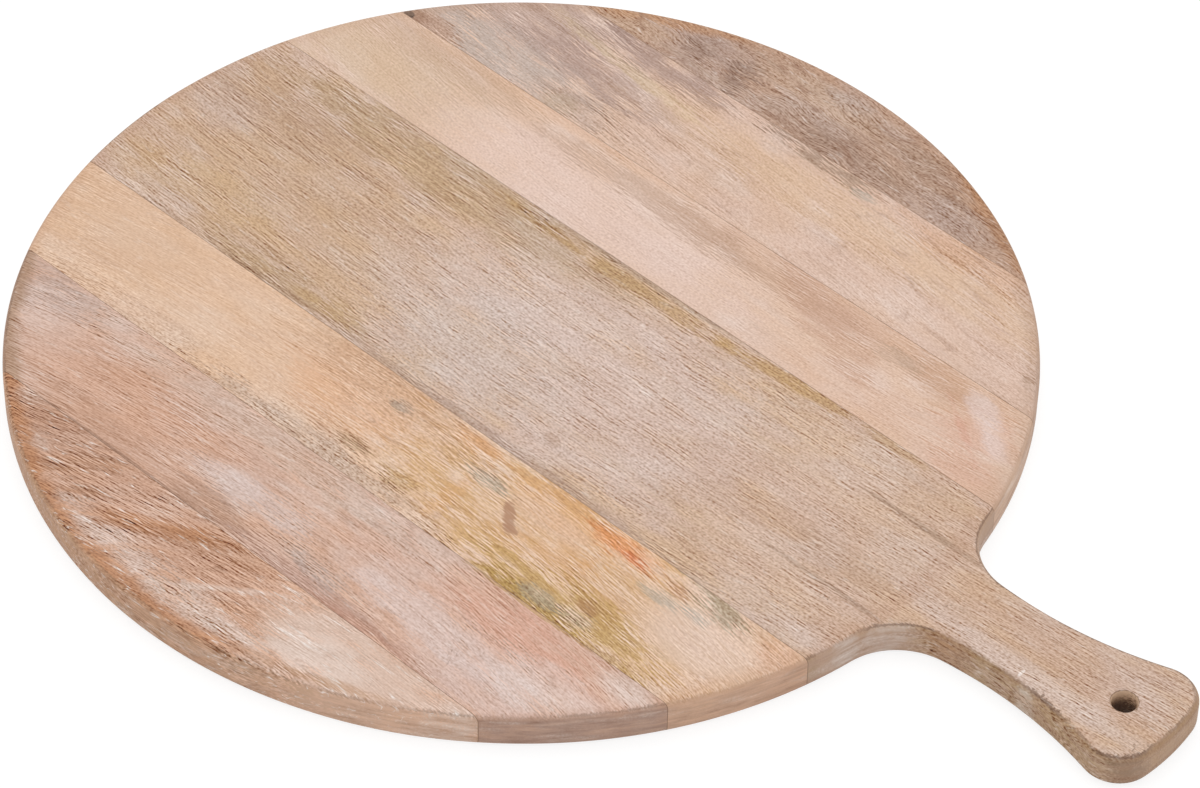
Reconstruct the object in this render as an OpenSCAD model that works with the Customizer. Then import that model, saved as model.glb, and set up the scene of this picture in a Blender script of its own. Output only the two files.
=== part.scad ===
// Round pizza serving board: seven staves glued edge to edge, with the handle cut from the centre stave.
// The disc's centre is the origin, on the bottom face, and the handle points along -Y.

/* [Board] */
// Diameter of the round serving area
disc_d = 400; // [340:1:480]
// Thickness of the wood
thickness = 15; // [10:0.5:24]
// Radius of the round-over along every outer edge
edge_r = 3; // [1:0.25:4.5]

/* [Staves] */
// Turn of the staves from the line of the handle, clockwise from above, in degrees
grain_turn = 3; // [0:0.25:6]
// Wood on the centre stave between the left hollow of the neck and the left joint
left_land = 20.3; // [4:0.1:30]
// Wood on the centre stave between the right hollow of the neck and the right joint
right_land = 6.4; // [4:0.1:30]
// Width of the stave left of the centre stave
left_inner_w = 51.5; // [30:0.5:60]
// Width of the second stave left of the centre stave
left_middle_w = 52; // [30:0.5:60]
// Width of the stave right of the centre stave
right_inner_w = 46; // [30:0.5:60]
// Width of the second stave right of the centre stave
right_middle_w = 56; // [30:0.5:60]
// Thickness of the glue in each joint
glue_t = 0.2; // [0.1:0.05:0.5]

/* [Handle] */
// Length of the handle from the disc's rim to the middle of its end
handle_len = 111.5; // [95:0.5:130]
// Width of the handle at its waist
waist_w = 35; // [28:0.5:42]
// Distance from the disc's rim to the waist
waist_from_rim = 34.5; // [28:0.5:45]
// Radius of the long hollow along each side of the handle
side_r = 188; // [120:1:300]
// Radius of the hollow between the disc and the handle
neck_r = 27; // [16:1:32]
// Radius of the two corners at the end of the handle
corner_r = 15; // [10:0.5:20]
// Radius of the bow at the end of the handle
end_r = 97; // [60:1:200]

/* [Hang hole] */
// Diameter of the hang hole
hole_d = 10; // [6:0.5:14]
// Distance from the end of the handle to the middle of the hang hole
hole_from_end = 22.5; // [18:0.5:32]
// Bevel that eases both rims of the hang hole
hole_bevel = 0.5; // [0.25:0.25:1.5]

/* [Hidden] */
// Fineness of round solids, and of each stretch of the centre stave's outline
$fn = 96;
edge_steps = 5;
rim_steps = 20;
land_steps = 4;
neck_steps = 12;
side_steps = 12;
corner_steps = 10;
end_steps = 6;
// How far a cutting shape reaches past the wood
over = 1;

// Bearing of a vector, from -90 to 270 degrees, so that no arc on the left side jumps a turn
function bearing(v) = let (a = atan2(v[1], v[0])) a < -90 ? a + 360 : a;

// Points of an arc about c, from bearing a to bearing b
function arc(c, r, a, b, steps) =
    [for (i = [0:steps]) let (t = a + (b - a) * i / steps) c + r * [cos(t), sin(t)]];

// The point at distance ra from a and rb from b, on the given side of the line from a to b
function meet(a, ra, b, rb, side) =
    let (gap = norm(b - a),
         ahead = (b - a) / gap,
         reach = (gap * gap + ra * ra - rb * rb) / (2 * gap),
         aside = sqrt(ra * ra - reach * reach))
    a + reach * ahead + side * aside * [-ahead[1], ahead[0]];

function flip(p) = [-p[0], p[1]];
function reverse(list) = [for (i = [len(list) - 1:-1:0]) list[i]];
function tail(list) = [for (i = [1:len(list) - 1]) list[i]];
function sum(list, count) = count == 0 ? 0 : list[count - 1] + sum(list, count - 1);

// Centres of the arcs down the left side of the handle, each arc tangent to the next
disc_r = disc_d / 2;
handle_reach = disc_r + handle_len;
disc_c = [0, 0];
side_c = [-waist_w / 2 - side_r, -disc_r - waist_from_rim];
neck_c = meet(disc_c, disc_r + neck_r, side_c, side_r - neck_r, 1);
end_c = [0, end_r - handle_reach];
corner_c = meet(side_c, side_r + corner_r, end_c, end_r - corner_r, -1);
neck_start = neck_c * disc_r / norm(neck_c);

// The staves run along one direction and are counted across it
along = [sin(grain_turn), cos(grain_turn)];
across = [cos(grain_turn), -sin(grain_turn)];
left_face = neck_start * across - left_land;
right_face = flip(neck_start) * across + right_land;
left_widths = [left_inner_w, left_middle_w];
right_widths = [right_inner_w, right_middle_w];

// The round-over as steps of [inset from the outline, height], from the bottom face to the top face
round_over = [for (i = [0:edge_steps]) let (t = 90 * i / edge_steps) edge_r * [1 - sin(t), 1 - cos(t)]];
edge_levels = concat(round_over, [for (s = reverse(round_over)) [s[0], thickness - s[1]]]);

// Where a face of the centre stave meets the inset rim, at the far end (1) or the near end (-1)
function on_rim(face, end, inset) =
    face * across + end * sqrt(pow(disc_r - inset, 2) - face * face) * along;

// One side of the centre stave as if on the left: the rim from its joint, then neck, side and corner
function side_run(start, inset) = concat(
    arc(disc_c, disc_r - inset, bearing(start), bearing(neck_start), land_steps),
    tail(arc(neck_c, neck_r + inset, bearing(disc_c - neck_c), bearing(neck_c - side_c), neck_steps)),
    tail(arc(side_c, side_r + inset, bearing(neck_c - side_c), bearing(corner_c - side_c), side_steps)),
    tail(arc(corner_c, corner_r - inset, bearing(side_c - corner_c), bearing(corner_c - end_c), corner_steps))
);

// The bowed end of the handle between its two corners
function end_run(inset) =
    let (a = bearing(corner_c - end_c), bow = arc(end_c, end_r - inset, a, 540 - a, end_steps))
    [for (i = [1:end_steps - 1]) bow[i]];

// Whole outline of the centre stave, counterclockwise from the far end of its right joint
function centre_outline(inset) = concat(
    arc(disc_c, disc_r - inset, bearing(on_rim(right_face, 1, inset)), bearing(on_rim(left_face, 1, inset)),
        rim_steps),
    side_run(on_rim(left_face, -1, inset), inset),
    end_run(inset),
    [for (p = reverse(side_run(flip(on_rim(right_face, -1, inset)), inset))) flip(p)]
);

// A flat face over the outline as convex pieces: the round part, the rungs down the handle and its end
function cap_faces(count) =
    let (left = rim_steps + 1, rungs = land_steps + neck_steps + side_steps + corner_steps)
    concat(
        [concat([for (i = [0:left]) i], [count - 1])],
        [for (i = [0:rungs - 1]) [left + i, left + i + 1, count - 2 - i, count - 1 - i]],
        [[for (i = [0:end_steps]) left + rungs + i]]
    );

// The centre stave before it is drilled: its outline lofted up through the levels of the round-over
module centre_blank() {
    loops = [for (level = edge_levels) centre_outline(level[0])];
    count = len(loops[0]);
    last = len(loops) - 1;
    points = [for (k = [0:last]) for (p = loops[k]) [p[0], p[1], edge_levels[k][1]]];
    bottom = cap_faces(count);
    top = [for (face = bottom) [for (i = reverse(face)) last * count + i]];
    joint_starts = [rim_steps, count - 1];
    joints = [for (i = joint_starts) concat(
        [for (k = [0:last]) k * count + i],
        [for (k = [last:-1:0]) k * count + (i + 1) % count]
    )];
    walls = [for (k = [0:last - 1]) for (i = [0:count - 2]) if (i != rim_steps)
        let (a = k * count + i)
        each [[a, a + count, a + 1], [a + 1, a + count, a + count + 1]]];
    polyhedron(points, concat(bottom, top, joints, walls));
}

// What the drill and its bevels take out of the handle
module hang_hole() {
    r = hole_d / 2;
    flare = r + hole_bevel + over;
    translate([0, hole_from_end - handle_reach, 0]) rotate_extrude() polygon([
        [0, -over], [flare, -over], [r, hole_bevel],
        [r, thickness - hole_bevel], [flare, thickness + over], [0, thickness + over]
    ]);
}

// The glued round before the handle, with its edge rounded over
module disc_blank() {
    rotate_extrude() polygon(concat(
        [[0, 0]], [for (level = edge_levels) [disc_r - level[0], level[1]]], [[0, thickness]]
    ));
}

// The slice of the round between two distances across the grain
module slice(from, to) {
    intersection() {
        disc_blank();
        rotate(-grain_turn) translate([from, -disc_r - over, -over])
            cube([to - from, 2 * (disc_r + over), thickness + 2 * over]);
    }
}

// Inner face of the glue line with this many staves between it and the centre stave
function left_seat(count) = left_face - sum(left_widths, count) - count * glue_t;
function right_seat(count) = right_face + sum(right_widths, count) + count * glue_t;

module left_glue(count) slice(left_seat(count) - glue_t, left_seat(count));
module right_glue(count) slice(right_seat(count), right_seat(count) + glue_t);
module left_stave(count) slice(left_seat(count + 1), left_seat(count) - glue_t);
module right_stave(count) slice(right_seat(count) + glue_t, right_seat(count + 1));

module centre_stave() {
    color("#cbaf9b") difference() {
        centre_blank();
        hang_hole();
    }
}

module left_inner_stave() { color("#d8b69a") left_stave(0); }
module left_middle_stave() { color("#d1af9c") left_stave(1); }
module left_rim_stave() { color("#caa894") slice(-disc_r - over, left_seat(2) - glue_t); }
module right_inner_stave() { color("#dbbdaa") right_stave(0); }
module right_middle_stave() { color("#d0b5a3") right_stave(1); }
module right_rim_stave() { color("#b69885") slice(right_seat(2) + glue_t, disc_r + over); }

module left_inner_glue() { color("#6b4f3b") left_glue(0); }
module left_middle_glue() { color("#6b4f3b") left_glue(1); }
module left_rim_glue() { color("#6b4f3b") left_glue(2); }
module right_inner_glue() { color("#6b4f3b") right_glue(0); }
module right_middle_glue() { color("#6b4f3b") right_glue(1); }
module right_rim_glue() { color("#6b4f3b") right_glue(2); }

centre_stave();
left_inner_stave();
left_middle_stave();
left_rim_stave();
right_inner_stave();
right_middle_stave();
right_rim_stave();
left_inner_glue();
left_middle_glue();
left_rim_glue();
right_inner_glue();
right_middle_glue();
right_rim_glue();
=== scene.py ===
"""Round pizza serving board: seven whitewashed staves glued edge to edge, with a handle on the middle one."""

import math
from typing import NamedTuple

import bmesh
import bpy
from mathutils import Matrix, Vector, noise


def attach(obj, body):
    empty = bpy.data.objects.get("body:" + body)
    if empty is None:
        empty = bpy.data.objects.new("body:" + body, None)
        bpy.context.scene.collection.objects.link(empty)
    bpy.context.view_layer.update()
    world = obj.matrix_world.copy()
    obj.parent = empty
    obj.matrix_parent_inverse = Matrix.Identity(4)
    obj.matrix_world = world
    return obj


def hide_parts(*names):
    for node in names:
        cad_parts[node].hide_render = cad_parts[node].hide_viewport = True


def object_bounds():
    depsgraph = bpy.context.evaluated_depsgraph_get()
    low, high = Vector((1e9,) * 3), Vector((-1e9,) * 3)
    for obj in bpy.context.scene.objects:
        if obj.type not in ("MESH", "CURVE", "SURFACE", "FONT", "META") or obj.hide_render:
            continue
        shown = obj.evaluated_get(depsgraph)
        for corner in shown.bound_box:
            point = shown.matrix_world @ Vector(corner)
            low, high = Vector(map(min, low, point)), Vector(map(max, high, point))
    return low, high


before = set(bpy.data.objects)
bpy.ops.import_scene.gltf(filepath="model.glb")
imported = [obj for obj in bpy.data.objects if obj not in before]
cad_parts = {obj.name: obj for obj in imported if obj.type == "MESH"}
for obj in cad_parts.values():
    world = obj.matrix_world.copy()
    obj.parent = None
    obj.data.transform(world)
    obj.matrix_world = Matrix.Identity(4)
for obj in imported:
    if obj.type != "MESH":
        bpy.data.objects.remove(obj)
cad_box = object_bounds()

MM = 0.001

# Sizes of the board, in metres: the box gives the disc, the handle's reach and the thickness
sanded_off = 0.05 * MM
disc_r = -cad_box[0].x
handle_reach = -cad_box[0].y
thickness = cad_box[1].z
waist_w = 35 * MM
waist_from_rim = 34.5 * MM
side_r = 188 * MM
neck_r = 27 * MM
corner_r = 15 * MM
end_r = 97 * MM
hole_r = 5 * MM
hole_from_end = 22.5 * MM
hole_bevel = 0.5 * MM
hole_ring = 1.2 * MM
hole_sides = 72
grain_turn = math.radians(3)

# Chips that the drill left in the hole: their depth, and waves round the hole and per metre up it
chip_depth = 0.22 * MM
chips_round = 2.3
small_chips_round = 7
small_chip_share = 0.5
chips_up = 160

# Round-over of the rim and of the handle, where it grows between them, and how uneven sanding left it
rim_edge_r = 2.6 * MM
handle_edge_r = 3.9 * MM
grip_from = -200 * MM
grip_to = -222 * MM
edge_grows_from = -205 * MM
edge_grows_to = -250 * MM
edge_uneven = 0.35 * MM
edge_waves = 22
edge_ring = 0.6 * MM
edge_steps = 7
outline_step = 1.3 * MM

# The staves' joints, counted across the grain from the disc's centre
glue_t = 0.2 * MM
left_land = 20.3 * MM
right_land = 6.4 * MM
left_inner_w = 51.5 * MM
left_middle_w = 52 * MM
right_inner_w = 46 * MM
right_middle_w = 56 * MM

# Camera, fitted to the photograph's outline of the board
photo_width = 1200
focal_px = 5136.2
camera_turn = math.radians(-50.069)
camera_rise = math.radians(44.357)
camera_roll = math.radians(1.14)
camera_far = 1.98126
camera_target = Vector((6.34, -34.44, 0)) * MM
sensor_width = 36


# Outline of the board

def meet(a, a_r, b, b_r, side):
    """The point at distance a_r from a and b_r from b, on the given side of the line from a to b."""
    gap = (b - a).length
    ahead = (b - a) / gap
    reach = (gap * gap + a_r * a_r - b_r * b_r) / (2 * gap)
    aside = math.sqrt(a_r * a_r - reach * reach)
    return a + reach * ahead + side * aside * Vector((-ahead.y, ahead.x))


def bearing(v):
    """Bearing of a vector, from -90 to 270 degrees, so that no arc on the left side jumps a turn."""
    angle = math.atan2(v.y, v.x)
    return angle + math.tau if angle < -math.pi / 2 else angle


disc_c = Vector((0, 0))
side_c = Vector((-waist_w / 2 - side_r, -disc_r - waist_from_rim))
neck_c = meet(disc_c, disc_r + neck_r, side_c, side_r - neck_r, 1)
end_c = Vector((0, end_r - handle_reach))
corner_c = meet(side_c, side_r + corner_r, end_c, end_r - corner_r, -1)
neck_start = neck_c * (disc_r / neck_c.length)
hole_c = Vector((0, hole_from_end - handle_reach))

across = Vector((math.cos(grain_turn), -math.sin(grain_turn), 0))


def picked(geom, kind):
    return [item for item in geom if isinstance(item, kind)]


def draw_arc(bm, vert, centre, start, end, radius):
    """Draws an arc on from a vertex about a centre, and returns the arc's last vertex."""
    steps = max(6, round(abs(end - start) * radius / outline_step))
    spun = bmesh.ops.spin(bm, geom=[vert], cent=(*centre, 0), axis=(0, 0, 1), angle=end - start,
                          steps=steps, use_merge=False, use_duplicate=False)
    return picked(spun["geom_last"], bmesh.types.BMVert)[0]


def draw_outline(bm):
    """The closed outline of the board on the table: five tangent arcs down the left side, then mirrored."""
    vert = bm.verts.new((0, disc_r - sanded_off, 0))
    vert = draw_arc(bm, vert, disc_c, math.pi / 2, bearing(neck_start), disc_r)
    vert = draw_arc(bm, vert, neck_c, bearing(disc_c - neck_c), bearing(neck_c - side_c), neck_r)
    vert = draw_arc(bm, vert, side_c, bearing(neck_c - side_c), bearing(corner_c - side_c), side_r)
    vert = draw_arc(bm, vert, corner_c, bearing(side_c - corner_c), bearing(corner_c - end_c), corner_r)
    draw_arc(bm, vert, end_c, bearing(corner_c - end_c), 1.5 * math.pi, end_r)
    bmesh.ops.mirror(bm, geom=bm.verts[:] + bm.edges[:], axis="X", merge_dist=sanded_off / 10)
    return bm.edges[:]


def raise_ring(bm, edges, height):
    """Carries a ring of edges straight up by a height, and returns the new ring's vertices and edges."""
    grown = bmesh.ops.extrude_edge_only(bm, edges=edges)["geom"]
    verts = picked(grown, bmesh.types.BMVert)
    bmesh.ops.translate(bm, verts=verts, vec=(0, 0, height))
    return verts, [edge for edge in picked(grown, bmesh.types.BMEdge) if edge.is_boundary]


def smooth_share(value, low, high):
    share = min(1, max(0, (value - low) / (high - low)))
    return share * share * (3 - 2 * share)


def edge_radius(place):
    """Round-over at a place on the outline: small round the rim, softer on the handle, never quite even."""
    radius = rim_edge_r + (handle_edge_r - rim_edge_r) * smooth_share(place.y, edge_grows_from, edge_grows_to)
    return radius + edge_uneven * noise.noise(Vector((place.x, place.y, 0)) * edge_waves)


def rounded_wall(bm):
    """Builds the rounded outer wall, and returns the two rings that the faces start from."""
    turns = [math.pi / 2 * step / edge_steps for step in range(edge_steps + 1)]
    levels = [("bottom", 0, edge_ring)] + [("bottom", turn, 0) for turn in turns]
    levels += [("top", turn, 0) for turn in reversed(turns)] + [("top", 0, edge_ring)]
    bottom_ring = edges = draw_outline(bm)
    rings = [bm.verts[:]]
    for _ in levels[1:]:
        verts, edges = raise_ring(bm, edges, thickness / (len(levels) - 1))
        rings.append(verts)
    bmesh.ops.recalc_face_normals(bm, faces=bm.faces[:])
    bm.normal_update()
    far_vert = max(rings[0], key=lambda vert: vert.co.y)
    outward = math.copysign(1, far_vert.normal.y)
    for verts, (face, turn, ring) in zip(rings, levels):
        for vert in verts:
            radius = edge_radius(vert.co)
            inset = radius * (1 - math.sin(turn)) + ring
            height = radius * (1 - math.cos(turn))
            vert.co -= outward * inset * vert.normal
            vert.co.z = height if face == "bottom" else thickness - height
    return bottom_ring, edges


def bored_hole(bm):
    """Builds the rough wall of the hang hole, and returns the two rings that the faces start from."""
    levels = [(0, hole_bevel + hole_ring), (0, hole_bevel), (hole_bevel, 0)]
    levels += [(thickness * share, 0) for share in (0.25, 0.5, 0.75)]
    levels += [(thickness - hole_bevel, 0), (thickness, hole_bevel), (thickness, hole_bevel + hole_ring)]
    drill = Vector((*hole_c, 0))
    circle = bmesh.ops.create_circle(bm, cap_ends=False, radius=hole_r, segments=hole_sides,
                                     matrix=Matrix.Translation(drill))
    rings = [circle["verts"]]
    bottom_ring = edges = list({edge for vert in circle["verts"] for edge in vert.link_edges})
    for _ in levels[1:]:
        verts, edges = raise_ring(bm, edges, 0)
        rings.append(verts)
    for verts, (height, flare) in zip(rings, levels):
        for vert in verts:
            arm = (vert.co - drill).normalized()
            chip = noise.noise(arm * chips_round + Vector((0, 0, height * chips_up)))
            chip += small_chip_share * noise.noise(arm * small_chips_round + drill)
            vert.co = drill + arm * (hole_r + flare + chip_depth * chip * (flare < hole_ring))
            vert.co.z = height
    return bottom_ring, edges


def board_blank():
    """The whole board as one closed form, before it is sliced into its staves and glue lines."""
    bm = bmesh.new()
    wall_rings = rounded_wall(bm)
    hole_rings = bored_hole(bm)
    for wall_ring, hole_ring_edges in zip(wall_rings, hole_rings):
        bmesh.ops.triangle_fill(bm, edges=wall_ring + hole_ring_edges, use_beauty=True, use_dissolve=False)
    bmesh.ops.recalc_face_normals(bm, faces=bm.faces[:])
    for face in bm.faces:
        face.smooth = True
    return bm


def slice_board(blank, low, high):
    """The part of the board between two distances across the grain, with flat joint faces where it is cut."""
    bm = blank.copy()
    for place, is_low in ((low, True), (high, False)):
        if place is None:
            continue
        cut = bmesh.ops.bisect_plane(bm, geom=bm.verts[:] + bm.edges[:] + bm.faces[:], dist=glue_t / 1000,
                                     plane_co=across * place, plane_no=across,
                                     clear_inner=is_low, clear_outer=not is_low)
        joint_edges = picked(cut["geom_cut"], bmesh.types.BMEdge)
        bmesh.ops.holes_fill(bm, edges=joint_edges, sides=0)
        for edge in joint_edges:
            edge.smooth = False
    bmesh.ops.recalc_face_normals(bm, faces=bm.faces[:])
    return bm


# Node trees

def linear(hex_colour):
    """A colour as a shader takes it, from the six digits that it is written with."""
    parts = [int(hex_colour[i:i + 2], 16) / 255 for i in (1, 3, 5)]
    return [*(p / 12.92 if p <= 0.04045 else ((p + 0.055) / 1.055) ** 2.4 for p in parts), 1]


class Sheet:
    """A node tree, with short calls that place a node and return what it puts out."""

    def __init__(self, tree):
        self.tree = tree

    def feed(self, socket, value):
        """Joins a socket to what another node puts out, or sets its own value."""
        if isinstance(value, bpy.types.NodeSocket):
            self.tree.links.new(value, socket)
        else:
            socket.default_value = value

    def node(self, kind, inputs=(), **settings):
        made = self.tree.nodes.new(kind)
        for key, value in settings.items():
            setattr(made, key, value)
        for key, value in dict(inputs).items():
            self.feed(made.inputs[key], value)
        return made

    def group(self, name, inputs, label=""):
        """One of the shared node groups with its own values, as its named outputs."""
        return self.node("ShaderNodeGroup", inputs, node_tree=groups[name], label=label).outputs

    def math(self, operation, a, b=0.0, clamp=False):
        return self.node("ShaderNodeMath", {0: a, 1: b}, operation=operation, use_clamp=clamp).outputs[0]

    def plus(self, a, b):
        return self.math("ADD", a, b)

    def less(self, a, b):
        return self.math("SUBTRACT", a, b)

    def times(self, first, *others, clamp=False):
        """Values multiplied, and kept from 0 to 1 if clamped."""
        for other in others:
            first = self.math("MULTIPLY", first, other, clamp)
        return first

    def span(self, value, low, high, to_low=0.0, to_high=1.0):
        """A value eased from one range to another."""
        inputs = {"Value": value, "From Min": low, "From Max": high, "To Min": to_low, "To Max": to_high}
        return self.node("ShaderNodeMapRange", inputs, interpolation_type="SMOOTHSTEP").outputs[0]

    def mix(self, share, a, b):
        """Two colours mixed; the numbers are the colour sockets of the mix node."""
        return self.node("ShaderNodeMix", {0: share, 6: a, 7: b}, data_type="RGBA").outputs[2]

    def vector(self, x=0.0, y=0.0, z=0.0):
        return self.node("ShaderNodeCombineXYZ", {"X": x, "Y": y, "Z": z}).outputs[0]

    def parts(self, vector):
        return self.node("ShaderNodeSeparateXYZ", {0: vector}).outputs

    def vector_math(self, operation, *vectors):
        return self.node("ShaderNodeVectorMath", dict(enumerate(vectors)), operation=operation).outputs

    def scaled(self, vector, scale):
        return self.vector_math("MULTIPLY", vector, scale)["Vector"]

    def shifted(self, vector, shift):
        return self.vector_math("ADD", vector, shift)["Vector"]

    def noise(self, vector, detail, roughness=0.5):
        inputs = {"Vector": vector, "Scale": 1.0, "Detail": detail, "Roughness": roughness}
        return self.node("ShaderNodeTexNoise", inputs).outputs[0]


def blank_sheet(owner):
    """The emptied node tree of a material or of the world."""
    owner.use_nodes = True
    owner.node_tree.nodes.clear()
    return Sheet(owner.node_tree)


def open_group(name, vectors, floats):
    """A new node group with named inputs, as its sheet and what comes in."""
    sheet = Sheet(bpy.data.node_groups.new(name, "ShaderNodeTree"))
    for socket in vectors + floats:
        kind = "Vector" if socket in vectors else "Float"
        sheet.tree.interface.new_socket(name=socket, in_out="INPUT", socket_type=f"NodeSocket{kind}")
    return sheet, sheet.node("NodeGroupInput").outputs


def close_group(sheet, results):
    """Puts named results out of a node group, and returns the finished group."""
    for socket, value in results.items():
        kind = "Vector" if value.type == "VECTOR" else "Float"
        sheet.tree.interface.new_socket(name=socket, in_out="OUTPUT", socket_type=f"NodeSocket{kind}")
    sheet.node("NodeGroupOutput", results)
    return sheet.tree


def grain_group():
    """Where a point lies in its stave, in mm, also along its bent fibres and its slanted growth."""
    sheet, given = open_group("stave grain", ["Position", "Seed"],
                              ["Lean", "Bend", "Slant", "Curl", "Wander"])
    to_mm = 1 / MM
    place = sheet.node("ShaderNodeMapping", {"Vector": given["Position"], "Rotation": (0, 0, grain_turn),
                                             "Scale": (to_mm, to_mm, to_mm)}).outputs[0]
    parts = sheet.parts(place)
    seeded = sheet.shifted(place, given["Seed"])
    half_bend = sheet.times(parts["Y"], given["Bend"], 0.5)
    course = sheet.times(parts["Y"], sheet.plus(given["Lean"], half_bend))
    slanted = sheet.plus(course, sheet.times(parts["Y"], given["Slant"]))

    def drifted(scale, reach, way):
        """The seeded place, set aside by the way that the wood grew and by some drift."""
        drift = sheet.less(sheet.noise(sheet.scaled(seeded, scale), 1.0), 0.5)
        return sheet.shifted(seeded, sheet.vector(sheet.less(sheet.times(drift, reach), way)))

    return close_group(sheet, {
        "Across": parts["X"],
        "Along": parts["Y"],
        "Grain": drifted((0.06, 0.045, 0.06), given["Curl"], course),
        "Growth": drifted((0.03, 0.014, 0.03), given["Wander"], slanted),
    })


def fibre_group():
    """The figure of the wood: strokes, specks, pores, threads of whitewash, growth lines and clouds.

    Scales are in waves per millimetre across the fibres, along them and through the wood.
    """
    sheet, given = open_group("wood figure", ["Grain", "Growth"], ["End"])
    grain, growth = given["Grain"], given["Growth"]
    calm = sheet.span(given["End"], 0.25, 0.75, 1.0, 0.25)

    def waves(way, scale, detail=1.0, shift=None, roughness=0.5):
        place = sheet.scaled(way, scale)
        return sheet.noise(sheet.shifted(place, shift) if shift else place, detail, roughness)

    def signed(value):
        return sheet.less(value, 0.5)

    def threads(scale, shift, breaks):
        """Thin threads along the grain, broken where the breaks are nought."""
        off = sheet.math("ABSOLUTE", signed(waves(grain, scale, shift=shift)))
        return sheet.times(sheet.span(off, 0.045, 0.0), breaks, calm)

    # A stroke is the noise less itself a little to the side, which leaves thin lines and no blotches
    stroke_scale = (1.6, 0.16, 1.6)
    stroke = sheet.less(waves(grain, stroke_scale, roughness=0.6),
                        waves(grain, stroke_scale, shift=(0.8, 0.0, 0.0), roughness=0.6))
    hair = signed(waves(grain, (1.2, 0.03, 1.2)))
    cluster = sheet.span(waves(grain, (0.12, 0.04, 0.12)), 0.36, 0.64, 0.5, 1.3)
    gaps = waves(grain, (0.5, 0.1, 0.5))
    blotch = waves(grain, (0.16, 0.07, 0.16), 2.0)
    streak = waves(growth, (0.25, 0.016, 0.25), 3.0)
    contour = sheet.math("ABSOLUTE", signed(waves(growth, (0.1, 0.016, 0.1), 2.0)))
    return close_group(sheet, {
        "Hatch": sheet.times(sheet.plus(stroke, sheet.times(hair, 0.6)), cluster, calm),
        "Speck": sheet.times(signed(waves(grain, (1.8, 0.8, 1.8), 0.5)), calm),
        "Pore": threads((0.6, 0.04, 0.6), None, sheet.span(gaps, 0.5, 0.66)),
        "Wash": threads((0.6, 0.05, 0.6), (31, 17, 3), sheet.span(gaps, 0.5, 0.34)),
        "Line": sheet.times(sheet.span(contour, 0.022, 0.0), sheet.span(blotch, 0.42, 0.6)),
        "Streak": streak,
        "Warm": waves(growth, (0.06, 0.025, 0.06), 2.0),
        "Pale": waves(growth, (0.07, 0.03, 0.07), 2.0, (71, 13, 5)),
        "Fray": sheet.plus(signed(blotch), sheet.times(signed(streak), 0.6)),
    })


def stain_group():
    """A soft patch of colour in the wood, which may be turned, and whose border frays into the wood."""
    sheet, given = open_group("stain", [], ["Across", "Along", "Across Middle", "Along Middle", "Half Width",
                                            "Half Length", "Turn", "Softness", "Fray"])
    off = sheet.vector(sheet.less(given["Across"], given["Across Middle"]),
                       sheet.less(given["Along"], given["Along Middle"]))
    turned = sheet.node("ShaderNodeVectorRotate", {"Vector": off, "Angle": given["Turn"]},
                        rotation_type="Z_AXIS").outputs[0]
    halves = sheet.vector(given["Half Width"], given["Half Length"], 1.0)
    share = sheet.vector_math("DIVIDE", turned, halves)["Vector"]
    far = sheet.plus(sheet.vector_math("DOT_PRODUCT", share, share)["Value"], given["Fray"])
    outer = sheet.plus(1.0, given["Softness"])
    inner = sheet.less(1.0, given["Softness"])
    return close_group(sheet, {"Mask": sheet.span(far, outer, inner)})


def edge_group():
    """Where the surface turns away from the faces, how it is worn there, where painted shade falls along the
    round-over and down the hole, and where grip and hole are.

    Scales are in waves per radian round the rim, per metre up the wall and per metre along the handle.
    """
    sheet, given = open_group("turned edge", ["Position", "Normal"], [])
    facing = sheet.parts(given["Normal"])
    place = sheet.parts(given["Position"])
    level = sheet.math("ABSOLUTE", facing["Z"])
    flat = sheet.vector(place["X"], place["Y"])
    rim_way = sheet.vector(sheet.math("ARCTAN2", place["Y"], place["X"]), place["Z"], place["Y"])

    def distance(centre):
        return sheet.vector_math("DISTANCE", flat, (*centre, 0))["Value"]

    rub = sheet.noise(sheet.scaled(rim_way, (9.0, 500.0, 60.0)), 4.0, 0.65)
    specks = sheet.noise(sheet.scaled(rim_way, (170.0, 1300.0, 900.0)), 1.0)
    patches = sheet.noise(sheet.scaled(rim_way, (6.0, 150.0, 40.0)), 2.0)
    mottle = sheet.less(sheet.plus(rub, specks), 1.0)
    uneven_level = sheet.plus(level, sheet.times(mottle, 0.3))
    rim_far = distance(disc_c)
    uneven_far = sheet.plus(rim_far, sheet.times(sheet.less(rub, 0.5), 12 * MM))
    grip = sheet.span(place["Y"], grip_from, grip_to)
    return close_group(sheet, {
        "Wall": sheet.span(level, 0.8, 0.25),
        "Shoulder": sheet.times(sheet.span(uneven_level, 0.93, 0.66), sheet.span(level, 0.2, 0.6)),
        # Painted shade: a dark line along the round-over where it turns from the light
        "Crease Shade": sheet.times(sheet.span(uneven_level, 0.93, 0.85), sheet.span(uneven_level, 0.62, 0.76),
                              sheet.span(patches, 0.6, 0.44, 0.2, 1.0)),
        "Turned": sheet.span(uneven_level, 0.98, 0.8),
        "Band": sheet.times(sheet.span(uneven_far, disc_r - 9 * MM, disc_r - 3 * MM),
                            sheet.span(rim_far, disc_r + 3 * MM, disc_r)),
        "Grip": grip,
        "End": sheet.math("ABSOLUTE", facing["Y"]),
        "Hole": sheet.span(distance(hole_c), hole_r + 0.5 * MM, hole_r + 0.3 * MM),
        # How far below the top face a point lies, used to darken the hole's wall with painted shade
        "Depth": sheet.span(place["Z"], thickness, thickness - 9 * MM),
        "Rub": rub,
        "Chalk": sheet.times(sheet.span(patches, 0.48, 0.7), sheet.span(specks, 0.36, 0.64, 0.25, 1.0),
                             sheet.span(level, 0.5, 0.1), sheet.span(grip, 0.0, 1.0, 1.0, 0.2)),
    })


groups = {"grain": grain_group(), "fibre": fibre_group(), "stain": stain_group(), "edge": edge_group()}


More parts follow.
